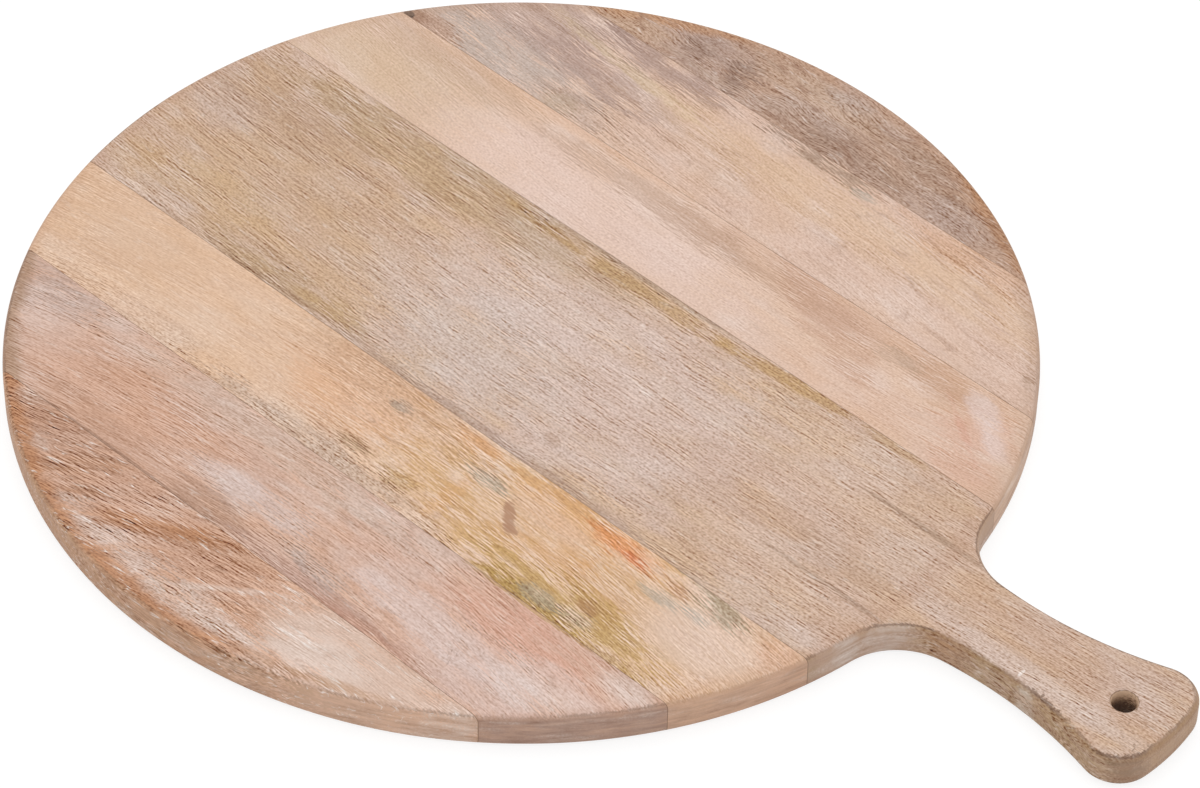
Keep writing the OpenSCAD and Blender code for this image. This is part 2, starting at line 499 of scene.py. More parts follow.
# Tones that all staves share
grip_brown = "#a07c56"
# Painted shade: the dark line along the round-over where it turns from the light
crease_shade_brown = "#7c5f4c"
growth_brown = "#8d6247"
pore_brown = "#7d5c46"
whitewash = "#f0e6df"
chalk_white = "#e2d6ce"
drilled_pale = "#d9b99c"
# Painted shade: the hole's wall darkens to this towards its depth
bore_shade_brown = "#6a4c36"
glue_brown = "#94725a"
glue_dirt = "#6b4d39"

# How strong the wear on the edges is, and the painted shade along the grip's round-over
wall_wear = 0.75
rim_wear = 0.45
grip_wear = 0.7
grip_crease_shade = 0.8
grip_wall = 0.5
chalk_left = 0.5
rubbed = (0.38, 0.62)
rubbed_streaks = 1.5
fray_reach = 2.2

# How much a stroke tints red, green and blue, how it dulls the lightest ones, and how deep it is cut
stroke_tint = (0.76, 1.0, 1.2)
stroke_dulling = 0.6
bump_depth = 0.12 * MM


class Stain(NamedTuple):
    """A patch of colour, with its place across and along the grain in mm."""
    name: str
    colour: str
    across: tuple
    along: tuple
    strength: float
    fray: float = 1.0
    softness: float = 1.0
    turn: float = 0.0
    rough: float = 0.0


class Wood(NamedTuple):
    """The finish of one stave: its tones, how its fibres run, its stains, the marks on its worn edge, a few
    of them painted shade, and the painted shade along its round-over.
    """
    seed: float
    base: str
    warm: str
    pale: str
    streak: str
    wall: str
    shoulder: str
    band_colour: str
    stains: list
    strokes: float
    specks: float
    pores: float
    wash: float
    ripple: float
    lines: float
    streaks: float
    # How strong the painted shade line along the round-over is
    crease_shade: float = 0.15
    band: float = 0.4
    band_from: float = -220.0
    lean: float = 0.0
    bend: float = 0.0
    slant: float = 0.0
    curl: float = 1.6
    wander: float = 4.0
    marks: tuple = ()


def new_material(name):
    """A material with only a shader, as its sheet and the shader's sockets."""
    material = bpy.data.materials.new(name)
    sheet = blank_sheet(material)
    shader = sheet.node("ShaderNodeBsdfPrincipled")
    sheet.node("ShaderNodeOutputMaterial", {"Surface": shader.outputs[0]})
    return material, sheet, shader.inputs


class Finish:
    """The layers of one stave's finish, each laid over the colour before it."""

    def __init__(self, sheet, wood):
        place = sheet.node("ShaderNodeTexCoord").outputs
        self.sheet = sheet
        self.wood = wood
        self.grain = sheet.group("grain", {
            "Position": place["Object"], "Lean": wood.lean, "Bend": wood.bend,
            "Slant": wood.slant, "Curl": wood.curl, "Wander": wood.wander,
            "Seed": (wood.seed * 37, wood.seed * 113, wood.seed * 19)})
        self.edge = sheet.group("edge", {"Position": place["Object"], "Normal": place["Normal"]})
        self.figure = sheet.group("fibre", {"Grain": self.grain["Grain"], "Growth": self.grain["Growth"],
                                            "End": self.edge["End"]})
        self.frayed = sheet.times(sheet.plus(self.figure["Fray"], self.figure["Hatch"]), fray_reach)

    def over(self, colour, share, tint):
        """A colour with a tint laid over a share of it."""
        return self.sheet.mix(share, colour, linear(tint))

    def mask(self, stain):
        """How much of a stain there is at each point."""
        return self.sheet.group("stain", {
            "Across": self.grain["Across"], "Along": self.grain["Along"],
            "Across Middle": sum(stain.across) / 2, "Along Middle": sum(stain.along) / 2,
            "Half Width": abs(stain.across[1] - stain.across[0]) / 2,
            "Half Length": abs(stain.along[1] - stain.along[0]) / 2,
            "Turn": math.radians(stain.turn), "Softness": stain.softness,
            "Fray": self.sheet.times(self.frayed, stain.fray)}, stain.name)["Mask"]

    def toned(self):
        """The bare wood, warmer, paler and streaked in places."""
        sheet, wood, figure = self.sheet, self.wood, self.figure
        colour = self.over(linear(wood.base), sheet.span(figure["Warm"], 0.4, 0.64, 0.0, 0.8), wood.warm)
        colour = self.over(colour, sheet.span(figure["Pale"], 0.44, 0.7, 0.0, 0.6), wood.pale)
        return self.over(colour, sheet.span(figure["Streak"], 0.5, 0.72, 0.0, wood.streaks), wood.streak)

    def stained(self, colour):
        """The stains, and how strongly the fibres show in them."""
        sheet, edge = self.sheet, self.edge
        force = sheet.span(sheet.less(edge["Wall"], edge["Grip"]), 0.0, 1.0, 1.0, 0.4)
        for stain in self.wood.stains:
            mask = self.mask(stain)
            colour = self.over(colour, sheet.times(mask, stain.strength), stain.colour)
            if stain.rough:
                force = sheet.plus(force, sheet.times(mask, stain.rough))
        return colour, force

    def worn(self, colour):
        """The band inside the rim, the rubbed wall with chalky remains, and the browned shoulder above it."""
        sheet, wood, edge = self.sheet, self.wood, self.edge
        band = sheet.span(self.grain["Along"], wood.band_from - 20, wood.band_from + 20, 0.0, wood.band)
        colour = self.over(colour, sheet.times(edge["Band"], band), wood.band_colour)
        wall = self.over(linear(wood.wall), sheet.span(edge["Rub"], *rubbed), wood.shoulder)
        wall = self.over(wall, sheet.times(edge["Grip"], grip_wall), grip_brown)
        wall = self.over(wall, sheet.times(edge["Chalk"], chalk_left), chalk_white)
        colour = sheet.mix(sheet.times(edge["Wall"], wall_wear), colour, wall)
        browned = sheet.times(edge["Grip"], sheet.span(edge["Rub"], 0.3, 0.6, 0.55, 1.0))
        shoulder = self.over(linear(wood.shoulder), browned, grip_brown)
        wear = sheet.times(edge["Shoulder"], sheet.span(edge["Grip"], 0.0, 1.0, rim_wear, grip_wear))
        return sheet.mix(wear, colour, shoulder)

    def marked(self, colour):
        """The marks on the turned edge, a few of them painted shade, and a painted shade line along the
        round-over where it turns from the light.
        """
        sheet, edge = self.sheet, self.edge
        uneven = sheet.times(edge["Turned"], sheet.span(edge["Rub"], *rubbed, 0.35, 1.0))
        for mark in self.wood.marks:
            colour = self.over(colour, sheet.times(self.mask(mark), uneven, mark.strength), mark.colour)
        crease_shade = sheet.span(edge["Grip"], 0.0, 1.0, self.wood.crease_shade, grip_crease_shade)
        # Painted shade along the round-over, stronger on the grip
        return self.over(colour, sheet.times(edge["Crease Shade"], crease_shade), crease_shade_brown)

    def fibred(self, colour, force):
        """Growth lines, pores and threads of whitewash, then light and dark strokes."""
        sheet, wood, figure, edge = self.sheet, self.wood, self.figure, self.edge
        line = sheet.times(figure["Line"], wood.lines, force, clamp=True)
        colour = self.over(colour, line, growth_brown)
        pore = sheet.times(figure["Pore"], wood.pores, force, clamp=True)
        colour = self.over(colour, pore, pore_brown)
        colour = self.over(colour, sheet.times(figure["Wash"], wood.wash), whitewash)
        shade = sheet.times(figure["Hatch"], wood.strokes)
        shade = sheet.plus(shade, sheet.times(figure["Speck"], wood.specks))
        shade = sheet.plus(shade, sheet.times(sheet.less(figure["Streak"], 0.5), wood.ripple))
        streaky = sheet.times(sheet.less(edge["Rub"], 0.5), edge["Wall"], rubbed_streaks)
        shade = sheet.plus(sheet.times(shade, force), streaky)
        shade = sheet.times(shade, sheet.less(1.0, sheet.times(shade, stroke_dulling)))
        tint = sheet.vector_math("MULTIPLY_ADD", shade, stroke_tint, (1.0, 1.0, 1.0))["Vector"]
        return sheet.scaled(colour, tint)

    def bore_with_shade(self, colour):
        """The wall of the hole, pale at its rim and rough, with painted shade that darkens it further down.
        """
        sheet, edge = self.sheet, self.edge
        bore = sheet.times(edge["Hole"], sheet.span(edge["Wall"], 0.0, 0.6))
        depth = sheet.plus(edge["Depth"], sheet.times(self.figure["Speck"], -2.0))
        # Painted shade: pale at the top of the hole, dark deeper down
        wall = self.over(linear(drilled_pale), sheet.span(depth, 0.0, 1.0), bore_shade_brown)
        return sheet.mix(bore, colour, wall)


def wood_material(name, wood):
    """Whitewashed wood: toned, stained, worn at its edges, with painted shade along the round-over, drawn
    over with fibres, and its hole darkened further down by painted shade.
    """
    material, sheet, shader = new_material(name)
    finish = Finish(sheet, wood)
    colour, force = finish.stained(finish.toned())
    colour = finish.marked(finish.worn(colour))
    colour = finish.bore_with_shade(finish.fibred(colour, force))
    hatch = finish.figure["Hatch"]
    bump = sheet.node("ShaderNodeBump", {"Height": hatch, "Strength": 0.35, "Distance": bump_depth})
    sheet.feed(shader["Base Color"], colour)
    sheet.feed(shader["Roughness"], sheet.span(hatch, -0.3, 0.3, 0.75, 0.5))
    sheet.feed(shader["Normal"], bump.outputs[0])
    shader["Specular IOR Level"].default_value = 0.35
    return material


def glue_material():
    """Thin brown glue, darker in places where dirt has settled."""
    material, sheet, shader = new_material("glue line")
    place = sheet.node("ShaderNodeTexCoord").outputs["Object"]
    dirt = sheet.noise(sheet.scaled(place, (90.0, 90.0, 90.0)), 2.0)
    colour = sheet.mix(sheet.span(dirt, 0.35, 0.65), linear(glue_brown), linear(glue_dirt))
    sheet.feed(shader["Base Color"], colour)
    shader["Roughness"].default_value = 0.7
    return material


# The staves' finishes, with stains and marks placed as they lie on the board

centre_stains = [
    Stain("ochre far half", "#c7a483", (-52, 46), (205, 55), 0.6),
    Stain("lilac patch at the far rim", "#cbb4ab", (0, 22), (198, 162), 0.5),
    Stain("lilac patch on the left", "#c9b0a2", (-48, -26), (170, 140), 0.4),
    Stain("amber tint", "#cba678", (-38, -18), (178, 112), 0.4, 1.3),
    Stain("olive band on the left", "#b3936d", (-51, -36), (125, 36), 0.55, 1.3),
    Stain("amber spot", "#be9863", (-48, -37), (78, 48), 0.45, 1.4),
    Stain("brown far part", "#b08e74", (12, 44), (206, 112), 0.4),
    Stain("whitened middle", "#d8c0b6", (-46, 44), (52, -116), 0.6),
    Stain("palest middle", "#dbc8c0", (-6, 36), (32, -30), 0.3),
    Stain("grey patch", "#c8bbb2", (-46, 4), (44, -28), 0.3, 1.3),
    Stain("brown band on the right", "#b3946e", (32, 60), (160, -10), 0.55, 1.3),
    Stain("amber line", "#b9915a", (46, 53), (50, -64), 0.6, 2.0, 1.0, 0.5, 0.25),
    Stain("near amber line", "#bd9457", (49.5, 55.5), (-50, -120), 0.65, 1.8, 1.0, -3, 0.25),
    Stain("mauve joint line", "#a8907e", (54, 58), (30, -70), 0.5, 1.2),
    Stain("amber end of the line", "#b9945f", (52, 57), (-130, -158), 0.55, 1.4),
    Stain("tan near half", "#cdaa93", (-44, 52), (-106, -212), 0.5),
    Stain("brown line on the left", "#a28370", (-51, -46), (118, -155), 0.45, 1.6),
    Stain("pale near streak", "#dcc0ac", (-36, -14), (-116, -182), 0.35),
    Stain("pale streak on the right", "#dcc3b2", (12, 46), (-90, -182), 0.3),
    Stain("darker near middle", "#b89985", (-13, 4), (-146, -192), 0.35),
    Stain("pale patch by the handle", "#dccabf", (2, 24), (-168, -206), 0.3),
    Stain("whitened near corner", "#d9c5bb", (-52, -34), (-140, -192), 0.4),
    Stain("dark streak", "#987a63", (28.6, 31.4), (-156, -210), 0.55, 0.9),
    Stain("second dark streak", "#9c7f6a", (-18.2, -15.8), (-146, -206), 0.5, 0.9),
    Stain("small brown mark", "#b08d76", (-36, -31), (-44, -53), 0.45, 0.7, 0.6, 20),
    Stain("tan grip", "#caa58b", (-12, 36), (-205, -318), 0.5),
    Stain("whitened grip edge", "#dcc8be", (-5, 6), (-205, -310), 0.55),
    Stain("pale nick", "#f0e2d9", (-2.5, 1.5), (-252.4, -253.8), 0.8, 0.3, 0.4),
    Stain("lilac grip patch", "#cdb4a9", (16, 34), (-272, -304), 0.45),
]
centre_marks = (
    Stain("olive grip wall", "#a08150", (-17, -3), (-222, -298), 0.4, 1.6),
    Stain("chalky patch in the neck", "#dccdc4", (-27, -12), (-199, -215), 0.6, 1.6),
    Stain("second chalky patch", "#d8c9c0", (-38, -28), (-193, -206), 0.5, 1.6),
    Stain("orange-brown bit", "#b07a4c", (-11, -4), (-217, -232), 0.45, 1.8),
    Stain("chalky patch on the grip", "#dccfc5", (-9, -2), (-256, -264), 0.45, 2.0),
    # Painted shade at the end of the handle, where the round-over turns from the light
    Stain("painted shade at the handle's end", "#6b5244", (-11, 3), (-300, -313), 0.5, 1.6),
    Stain("olive smudge at the joint", "#93784f", (-53, -45), (-186, -202), 0.3, 1.5),
)
centre_wood = Wood(
    seed=1.0, base="#cfb09c", warm="#d0ad8c", pale="#d8c4b9", streak="#b89b86",
    wall="#c6a793", shoulder="#b3937a", band_colour="#c09a82", crease_shade=0.65,
    strokes=1.05, specks=1.05, pores=0.08, wash=0.25, ripple=0.2, lines=0.12, streaks=0.35, bend=0.0003,
    stains=centre_stains, marks=centre_marks)

left_inner_stains = [
    Stain("smooth far half", "#e1bd9f", (-92, -46), (205, 20), 0.4, rough=-0.5),
    Stain("tan far end", "#d2aa88", (-90, -48), (200, 118), 0.35),
    Stain("yellow field", "#dfb88c", (-96, -48), (-8, -166), 0.75, 1.2, rough=-0.25),
    Stain("grey veil on the left", "#bea696", (-104, -92), (64, -40), 0.6, 1.6, rough=0.8),
    Stain("dark strokes at the far left", "#d2b4a0", (-104, -91), (160, 84), 0.35, 1.6, 1.0, -4, 0.3),
    Stain("grey-olive smudge", "#86683f", (-90, -84), (11, -5), 0.6, 2.2, rough=1.0),
    Stain("olive strokes", "#b08c5a", (-94, -86), (-12, -30), 0.5, 2.4, rough=0.8),
    Stain("orange tint", "#deab86", (-86, -52), (48, -8), 0.55, 1.4),
    Stain("brown tint on the right", "#c69f80", (-68, -48), (56, -42), 0.5, 1.5, 1.0, 4, 0.3),
    Stain("grey spot", "#968f86", (-63.5, -58.5), (9, -1), 0.5, 2.6, rough=0.5),
    Stain("saw mark", "#dca876", (-94, -60), (-38, -45), 0.45, 1.8),
    Stain("second saw mark", "#cba86a", (-96, -70), (-79, -83), 0.5, 1.8),
    Stain("third saw mark", "#d89f66", (-94, -60), (-101, -106), 0.42, 1.8),
    Stain("fourth saw mark", "#d5a06c", (-92, -74), (-115, -131), 0.38, 1.8),
    Stain("ochre mottle", "#c39252", (-94, -52), (-34, -158), 0.42, 3.6),
    Stain("pink mottle", "#e9cdbd", (-92, -52), (-46, -172), 0.3, -3.0),
    Stain("orange field", "#d69a5e", (-88, -66), (-68, -108), 0.3, 1.4),
    Stain("orange glow", "#e2a76f", (-66, -50), (-56, -126), 0.38, 1.2),
    Stain("orange flame", "#dd8748", (-61, -51), (-94, -124), 0.6, 1.6, 0.9, 0, 0.5),
    Stain("red core of the flame", "#cf6a3a", (-59.5, -55.5), (-107, -122), 0.6, 1.6, 0.7),
    Stain("pink haze", "#e6c5b0", (-70, -60), (-60, -96), 0.45, 1.4),
    Stain("orange streak on the right", "#d9985e", (-58, -50.5), (-20, -44), 0.45, 2.2),
    Stain("blue-grey spot", "#a5a59e", (-69.5, -63), (-38, -55), 0.55, 2.2, rough=0.4),
    Stain("brown mark", "#b4886a", (-77, -71.8), (-57.5, -74), 0.9, 0.8, 0.3, 46, -0.6),
    Stain("fork of the brown mark", "#b4886a", (-79.4, -76.2), (-66, -74.5), 0.85, 0.8, 0.3, 16, -0.4),
    Stain("yellow by the olive strip", "#d3ab6e", (-102, -82), (-72, -158), 0.5, 1.6),
    Stain("olive strip", "#b08a45", (-104, -95.5), (-76, -136), 0.75, 2.2, 0.9, 0, 0.6),
    Stain("near olive strip", "#b58f55", (-104, -97.5), (-128, -160), 0.5, 2.2, 0.9, 0, 0.5),
    Stain("olive mottle", "#a98a4c", (-99, -84), (-84, -140), 0.35, 3.2, rough=0.3),
    Stain("grey bits on the olive strip", "#a89f90", (-98.5, -92.5), (-95, -110), 0.55, 2.4),
    Stain("grey bits beside them", "#a9a194", (-97.5, -91), (-113, -125), 0.5, 2.4),
    Stain("brown dot", "#a06d4c", (-90.5, -85), (-114, -122), 0.5, 2.0),
    Stain("pale near end", "#e7cec0", (-84, -58), (-138, -182), 0.6, 1.3, rough=-0.3),
    Stain("blue-grey streak", "#a6a59d", (-67, -61.5), (-126, -142), 0.5, 2.4),
    Stain("brown strokes", "#b88663", (-60, -55), (-131, -142), 0.5, 2.2, 0.7, 16, 0.6),
    Stain("second blue-grey streak", "#aeaba3", (-64.5, -59.5), (-145, -158), 0.5, 2.4),
    Stain("green-grey streaks", "#a49b88", (-58, -49), (-138, -168), 0.6, 2.6, 1.0, 10, 0.8),
    Stain("pink near corner", "#dba98c", (-66, -49), (-176, -196), 0.45, 1.2),
]
left_inner_wood = Wood(
    seed=2.0, base="#e0bda2", warm="#e1ba99", pale="#e5cbb7", streak="#d3ac90",
    wall="#c8a58f", shoulder="#c69d82", band_colour="#cfa483",
    strokes=0.6, specks=0.8, pores=0.12, wash=0.15, ripple=0.2, lines=0.2, streaks=0.35, bend=-0.0009,
    stains=left_inner_stains)

left_middle_stains = [
    Stain("whitened far end", "#d9c8c2", (-142, -104), (168, 120), 0.5, 1.4),
    Stain("dark strokes at the far end", "#b0968a", (-120, -101), (168, 122), 0.4, 2.0, rough=0.2),
    Stain("peach field", "#d3a488", (-155, -114), (136, 28), 0.55),
    Stain("brown far corner", "#bd947c", (-158, -142), (142, 44), 0.5, 1.3),
    Stain("dark far joint line", "#86614c", (-154.6, -152.4), (118, 14), 0.5, 0.8, 0.8),
    Stain("orange-brown streaks", "#c08b68", (-128, -108), (112, 34), 0.2, 1.6, 1.0, -3),
    Stain("whitened strokes on the right", "#d0b9aa", (-116, -100), (100, -60), 0.5, 1.8, rough=0.15),
    Stain("lilac patch", "#dbcdca", (-141, -127), (34, -17), 0.5, 2.0, 1.0, -3),
    Stain("brown patch on the left", "#a9836c", (-156, -141), (38, 0), 0.55, 1.4),
    Stain("mauve streak on the left", "#ad8677", (-156, -146), (-8, -96), 0.6, 1.5),
    Stain("red-brown line on the left", "#b07a62", (-155, -150), (-50, -88), 0.45, 1.8),
    Stain("grey flecks", "#b3a7a2", (-147, -138), (-18, -54), 0.5, 2.0, 0.8, 4, 0.4),
    Stain("pink near half", "#dbb6a5", (-152, -102), (-50, -182), 0.6),
    Stain("salmon patch", "#d79f86", (-126, -104), (-84, -148), 0.6, 1.4),
    Stain("lilac clouds", "#ddccc7", (-142, -124), (-52, -128), 0.5, 1.8),
    Stain("lilac near rim", "#dcc6bf", (-150, -132), (-98, -142), 0.4, 1.6),
    Stain("whitened strokes", "#ddd0ca", (-114, -104), (-14, -56), 0.15, 2.0),
    Stain("whitened near rim", "#e4d2ca", (-138, -117), (-116, -158), 0.5, 1.4),
    Stain("pale near corner", "#e0cdc2", (-112, -103), (-146, -174), 0.5, 1.2),
    Stain("red-brown near rim", "#bb9079", (-129, -125), (-120, -184), 0.3, 1.4, 1.0, -50),
    Stain("gold line on the right", "#b5914a", (-102.6, -100.6), (-72, -134), 0.5, 1.6, 0.7),
]
left_middle_wood = Wood(
    seed=3.0, base="#d4af9b", warm="#d5aa90", pale="#dbc4b9", streak="#c19b87",
    wall="#a88a7b", shoulder="#ab866f", band_colour="#a9866b",
    strokes=0.8, specks=0.64, pores=0.06, wash=0.25, ripple=0.25, lines=0.2, streaks=0.4,
    crease_shade=0.45, band=0.8, band_from=30.0, lean=-0.04, bend=-0.0012, stains=left_middle_stains)

left_rim_stains = [
    Stain("brown far half", "#c0937a", (-190, -150), (120, -28), 0.55, 1.2),
    Stain("brown far corner", "#ab8068", (-172, -150), (116, 62), 0.4, 1.6),
    Stain("whitened band inside the rim", "#e0d2cb", (-197, -180), (62, -2), 0.45, 2.4),
    Stain("whitened far corner", "#d2bbae", (-180, -169), (112, 80), 0.45, 2.2, 1.0, -26),
    Stain("second whitened band", "#e0d1c9", (-197, -181), (-2, -48), 0.5, 2.2),
    Stain("smooth near half", "#dfc5b5", (-186, -152), (-39, -128), 0.75, 1.2, rough=-0.65),
    Stain("palest near part", "#e6d3c8", (-182, -164), (-46, -84), 0.45, 1.5, 1.0, -12),
    Stain("brown line inside the near rim", "#b98a66", (-190, -186), (-30, -72), 0.45, 1.8, 1.0, -15),
    Stain("near part of the brown line", "#bd9069", (-179, -175), (-62, -106), 0.5, 1.8, 1.0, -20),
    Stain("orange-brown band", "#b47a4e", (-171.5, -163), (48, -10), 0.8, 1.4, 1.0, -27),
    Stain("brown figure beside it", "#bd8c69", (-164, -155), (24, -36), 0.3, 1.6, 1.0, -24),
    Stain("pale line across the figure", "#e0cabd", (-176, -173), (10, -42), 0.5, 1.2, 1.0, -36, -0.3),
    Stain("orange figure", "#c8946c", (-182, -172), (-16, -46), 0.15, 1.6, 1.0, -20),
    Stain("dark marks", "#9c6841", (-178, -173), (90, 60), 0.6, 1.8, 0.9, -35),
    Stain("second dark marks", "#9f6b45", (-178, -174), (68, 48), 0.55, 1.8, 0.9, -32),
    Stain("third dark marks", "#a8754f", (-167, -161), (82, 52), 0.45, 1.8, 1.0, -32),
]
left_rim_marks = (
    # Painted shade on the far wall of the rim
    Stain("painted shade on the far wall", "#a5805f", (-215, -145), (140, -60), 0.55, 1.4),
    Stain("chalky near wall", "#d9cbc1", (-168, -150), (-110, -128), 0.4, 1.6),
)
left_rim_wood = Wood(
    seed=4.0, base="#d2aa92", warm="#cfa286", pale="#dfc8bb", streak="#bd8c6b",
    wall="#d3ae95", shoulder="#d0a588", band_colour="#b98159",
    strokes=1.6, specks=1.0, pores=0.06, wash=0.7, ripple=0.9, lines=0.35, streaks=0.5,
    crease_shade=0.3, band=0.85, band_from=-40.0, lean=-0.1, curl=3.0, bend=-0.0012, slant=-0.5, wander=14.0,
    stains=left_rim_stains, marks=left_rim_marks)

right_inner_stains = [
    Stain("beige far end", "#d2b596", (56, 92), (200, 100), 0.65),
    Stain("pink middle", "#e6cabd", (56, 88), (110, -42), 0.7),
    Stain("orange band on the right", "#dab090", (97, 104.5), (176, 16), 0.55),
    Stain("tan far corner", "#c7a78d", (84, 105), (190, 92), 0.55),
    Stain("orange-brown on the right", "#cb9e7e", (87, 106), (-12, -162), 0.5),
    Stain("peach near part", "#dcb294", (55, 76), (-84, -150), 0.35),
    Stain("grey-brown streaks", "#bf9e88", (85, 98), (62, -70), 0.55, 2.2),
    Stain("brown cloud", "#c89f86", (77, 97), (-50, -112), 0.6, 1.7, 1.0, 26),
    Stain("brown cloud by the swirl", "#c99f80", (84, 102), (-118, -154), 0.55, 1.6, 1.0, 28),
    Stain("grey flecks", "#b49d8a", (87, 95), (-104, -120), 0.4, 2.4),
    Stain("reddish glow", "#d6a285", (68, 92), (-146, -180), 0.5, 1.4),
    Stain("white swirl", "#e8d6d2", (87, 96), (-146, -166), 0.5, 2.0, 1.0, 30),
    Stain("second white swirl", "#e8d8d4", (79, 86), (-158, -180), 0.45, 1.8, 1.0, 34),
    Stain("pink swirl", "#d29a84", (77, 80), (-140, -174), 0.35, 1.6, 1.0, 34),
    Stain("reddish near rim", "#d3a388", (55, 68), (-156, -196), 0.55),
]
right_inner_wood = Wood(
    seed=5.0, base="#e0c1ae", warm="#e0bea6", pale="#e6cfc3", streak="#d1b19b",
    wall="#cdac96", shoulder="#cba88d", band_colour="#cba88d",
    strokes=0.35, specks=0.6, pores=0.08, wash=0.1, ripple=0.2, lines=0.1, streaks=0.3,
    lean=0.02, bend=0.0007, stains=right_inner_stains)

right_middle_stains = [
    Stain("mauve cloud", "#b99e92", (96, 172), (210, 84), 0.75, 1.4, 0.8),
    Stain("grey-green cloud", "#c0b3a9", (99, 126), (170, 82), 0.55, 1.5),
    Stain("orange by the knot", "#b98d70", (101, 111), (168, 140), 0.55, 1.6, 0.8, 14, 0.5),
    Stain("yellow ring", "#c9b08c", (102, 112), (92, 76), 0.45, 1.6),
    Stain("mauve fringe", "#ad9186", (121, 141), (122, 42), 0.6, 1.7),
    Stain("brown mottle on the left", "#b79b8b", (101, 117), (100, 62), 0.5, 2.0, rough=0.2),
    Stain("dark strokes ahead of the cloud", "#a1836f", (106, 119), (66, 36), 0.2, 2.6, 1.0, 4, 0.3),
    Stain("cream strip", "#d9c09f", (138.5, 145.5), (110, 34), 0.6, 2.2, 1.0, 7),
    Stain("second mauve lobe", "#a98d82", (145, 159), (104, 38), 0.75, 1.7),
    Stain("tan middle", "#cbaa92", (116, 142), (36, -10), 0.4, 1.6),
    Stain("yellow middle", "#dcb997", (126, 150), (40, -170), 0.5, 1.4),
    Stain("pink near half", "#e2c6b7", (103, 124), (-36, -164), 0.4, 1.3),
    Stain("brown flecks on the right", "#8f7460", (152, 159.5), (10, -40), 0.6, 2.4, rough=0.5),
    Stain("grey-blue spot", "#a5a29a", (149.5, 154.5), (-37, -48), 0.5, 2.2),
    Stain("orange near the right joint", "#d2a482", (146, 160), (-54, -128), 0.5, 1.4, rough=0.4),
    Stain("brown spot at the near rim", "#ab8a72", (115.5, 119), (-154, -159), 0.5, 1.2, 0.6),
    Stain("brown about the knot", "#9a7054", (100, 108), (170, 159), 0.6, 1.2),
    Stain("knot", "#38241a", (101, 105.6), (164, 169), 1.0, 0.25, 0.3),
]
right_middle_wood = Wood(
    seed=6.0, base="#dbbba8", warm="#dbb9a1", pale="#e2cbbf", streak="#c4a28c",
    wall="#c3a28c", shoulder="#bf9c85", band_colour="#b9977f",
    strokes=0.45, specks=0.7, pores=0.15, wash=0.12, ripple=0.4, lines=0.25, streaks=0.5,
    lean=0.08, curl=3.0, wander=5.0, stains=right_middle_stains)

right_rim_stains = [
    Stain("mauve far part", "#ac9084", (158, 186), (96, 40), 0.55, 1.6, 0.7),
    Stain("tan far corner", "#cba98d", (158, 174), (118, 78), 0.6, 1.3),
    Stain("orange far rim", "#bd8a5f", (172, 181), (124, 54), 0.65, 1.5, 1.0, -25),
    Stain("dark curl", "#927565", (166, 178), (74, 58), 0.5, 2.2, 1.0, 20, 0.1),
    Stain("second dark curl", "#896d5d", (163, 178), (50, 36), 0.55, 2.4, rough=0.1),
    Stain("dark middle", "#9f8170", (158, 178), (18, -44), 0.4, 1.9),
    Stain("third dark curl", "#8d705e", (162, 171), (-1, -24), 0.4, 2.4),
    Stain("light tan patch", "#c9aa92", (177, 192), (34, -22), 0.6, 1.5),
    Stain("grey patch at the rim", "#b8a399", (186, 199), (10, -10), 0.5, 1.6),
    Stain("wavy brown strokes", "#a07e65", (168, 192), (-18, -74), 0.5, 2.2, rough=0.2),
    Stain("lilac patch", "#b9a197", (160, 174), (-58, -92), 0.5, 1.7),
    Stain("orange near rim", "#b07c50", (173, 184), (-56, -122), 0.75, 1.6, 1.0, 26),
    Stain("dark near rim", "#96715a", (170, 176), (-84, -104), 0.4, 2.0, 1.0, 24),
]
right_rim_wood = Wood(
    seed=7.0, base="#b99a87", warm="#be9b84", pale="#c8b0a3", streak="#977a66",
    wall="#b9967f", shoulder="#b98f70", band_colour="#b98b68",
    strokes=0.75, specks=1.25, pores=0.08, wash=0.3, ripple=0.6, lines=0.5, streaks=0.5,
    band=0.35, lean=0.05, curl=7.0, wander=26.0, stains=right_rim_stains)


def joint_places():
    """Each stave's name and finish, and its two faces across the grain, from the centre outwards."""
    left = neck_start.dot(across.xy) - left_land
    right = Vector((-neck_start.x, neck_start.y)).dot(across.xy) + right_land
    places = [("centre", centre_wood, left, right)]
    for name, wood, width in (("left_inner", left_inner_wood, left_inner_w),
                              ("left_middle", left_middle_wood, left_middle_w),
                              ("left_rim", left_rim_wood, None)):
        low = left - glue_t - width if width else None
        places.append((name, wood, low, left - glue_t))
        left = low
    for name, wood, width in (("right_inner", right_inner_wood, right_inner_w),
                              ("right_middle", right_middle_wood, right_middle_w),
                              ("right_rim", right_rim_wood, None)):
        high = right + glue_t + width if width else None
        places.append((name, wood, right + glue_t, high))
        right = high
    return places


def add_object(name, data):
    made = bpy.data.objects.new(name, data)
    bpy.context.scene.collection.objects.link(made)
    return made


def add_form(name, bm, material):
    """A new object made of a finished form, which is freed."""
    mesh = bpy.data.meshes.new(name)
    bm.to_mesh(mesh)
    bm.free()
    mesh.materials.append(material)
    return add_object(name, mesh)


def place_piece(name, bm, material, node):
    """Turns a finished form into the piece that stands for a CAD node."""
    piece = add_form(name, bm, material)
    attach(piece, "root")
    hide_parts(node)


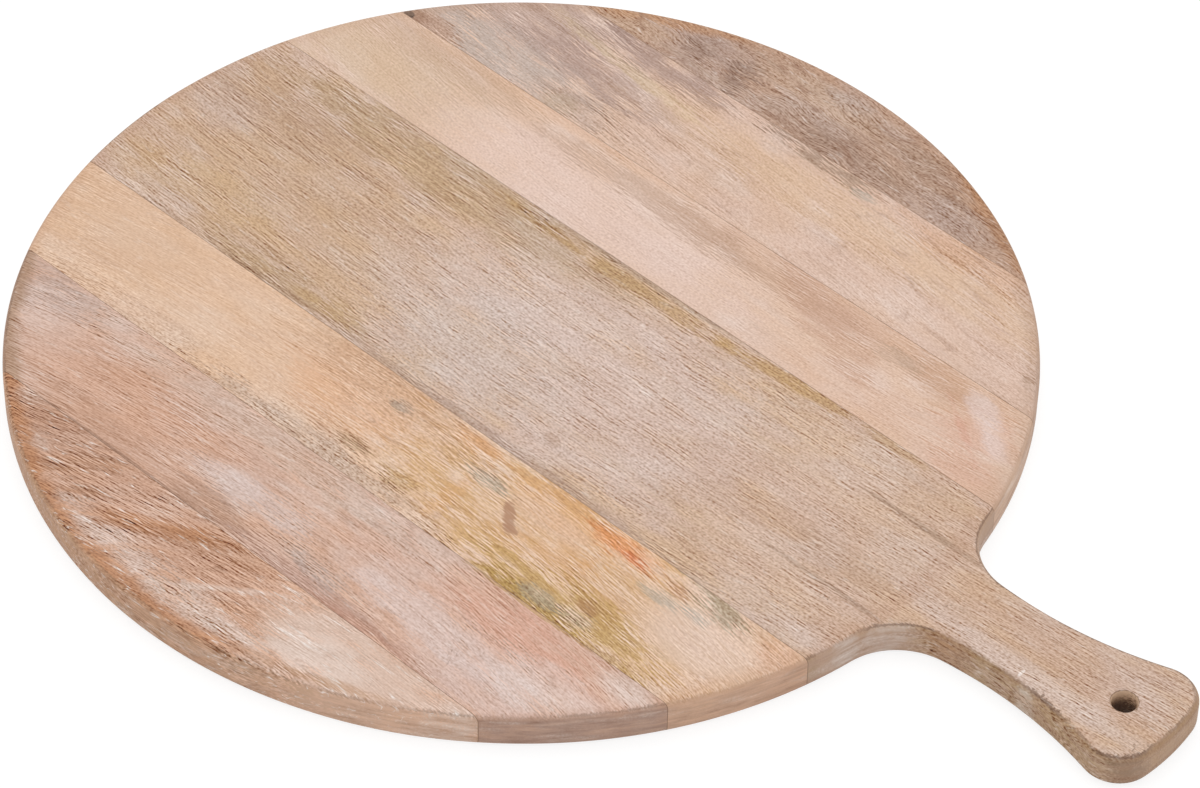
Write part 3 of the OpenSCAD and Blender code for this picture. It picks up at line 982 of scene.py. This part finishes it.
def build_board():
    """Slices the blank into the staves and, between them, the glue lines."""
    blank = board_blank()
    glue = glue_material()
    for name, wood, low, high in joint_places():
        stave = slice_board(blank, low, high)
        material = wood_material(f"{name} wood", wood)
        place_piece(f"{name}_stave_wood", stave, material, f"{name}_stave")
        if name == "centre":
            continue
        glue_faces = (high, high + glue_t) if name.startswith("left") else (low - glue_t, low)
        line = slice_board(blank, *glue_faces)
        place_piece(f"{name}_glue_line", line, glue, f"{name}_glue")
    blank.free()


# Floor, light and camera

floor_size = 6.0
floor_below = 0.1 * MM
floor_lit = "#eeeeee"
floor_seen = "#909090"
floor_glow = 0.8
sky_strength = 0.82
lamp_place = Vector((0.5, 0.4, 1.6))
lamp_size = 1.6
lamp_power = 6


def lay_floor():
    """A floor that shows the board's shadow, and pure white where it isn't shaded."""
    material = bpy.data.materials.new("white floor")
    sheet = blank_sheet(material)
    rays = sheet.node("ShaderNodeLightPath").outputs
    seen = sheet.math("MAXIMUM", rays["Is Camera Ray"], rays["Is Glossy Ray"])
    seen = sheet.math("MAXIMUM", seen, rays["Is Transmission Ray"])
    white = sheet.mix(seen, linear(floor_lit), linear(floor_seen))
    paint = sheet.node("ShaderNodeBsdfDiffuse", {"Color": white}).outputs[0]
    glow = sheet.node("ShaderNodeEmission", {"Strength": sheet.times(seen, floor_glow)}).outputs[0]
    both = sheet.node("ShaderNodeAddShader", {0: paint, 1: glow}).outputs[0]
    sheet.node("ShaderNodeOutputMaterial", {"Surface": both})
    bm = bmesh.new()
    bmesh.ops.create_grid(bm, x_segments=1, y_segments=1, size=floor_size)
    floor = add_form("floor", bm, material)
    floor.location.z = -floor_below


def set_light():
    """Soft light from all round, and a large lamp overhead that lifts the top face."""
    world = bpy.data.worlds.new("studio")
    bpy.context.scene.world = world
    sheet = blank_sheet(world)
    rays = sheet.node("ShaderNodeLightPath").outputs
    seen = sheet.math("MAXIMUM", rays["Is Camera Ray"], rays["Is Transmission Ray"])
    strength = sheet.span(seen, 0.0, 1.0, sky_strength, 1.0)
    sky = sheet.node("ShaderNodeBackground", {"Color": (1, 1, 1, 1), "Strength": strength}).outputs[0]
    sheet.node("ShaderNodeOutputWorld", {"Surface": sky})
    lamp = bpy.data.lights.new("overhead", "AREA")
    lamp.shape = "DISK"
    lamp.size = lamp_size
    lamp.energy = lamp_power
    hung = add_object("overhead", lamp)
    hung.location = lamp_place
    hung.rotation_euler = lamp_place.to_track_quat("Z", "Y").to_euler()


def set_camera():
    """The photograph's viewpoint."""
    turn, rise = camera_turn, camera_rise
    back = Vector((math.sin(turn) * math.cos(rise), -math.cos(turn) * math.cos(rise), math.sin(rise)))
    level = Vector((math.cos(turn), math.sin(turn), 0))
    upright = back.cross(level)
    right = math.cos(camera_roll) * level + math.sin(camera_roll) * upright
    up = math.cos(camera_roll) * upright - math.sin(camera_roll) * level
    camera = bpy.data.cameras.new("photograph")
    camera.sensor_fit = "HORIZONTAL"
    camera.sensor_width = sensor_width
    camera.lens = focal_px * sensor_width / photo_width
    viewer = add_object("photograph", camera)
    viewer.matrix_world = Matrix((right, up, back)).transposed().to_4x4()
    viewer.matrix_world.translation = camera_target + camera_far * back
    bpy.context.scene.camera = viewer


build_board()
lay_floor()
set_light()
set_camera()
bpy.context.scene.view_settings.view_transform = "Standard"
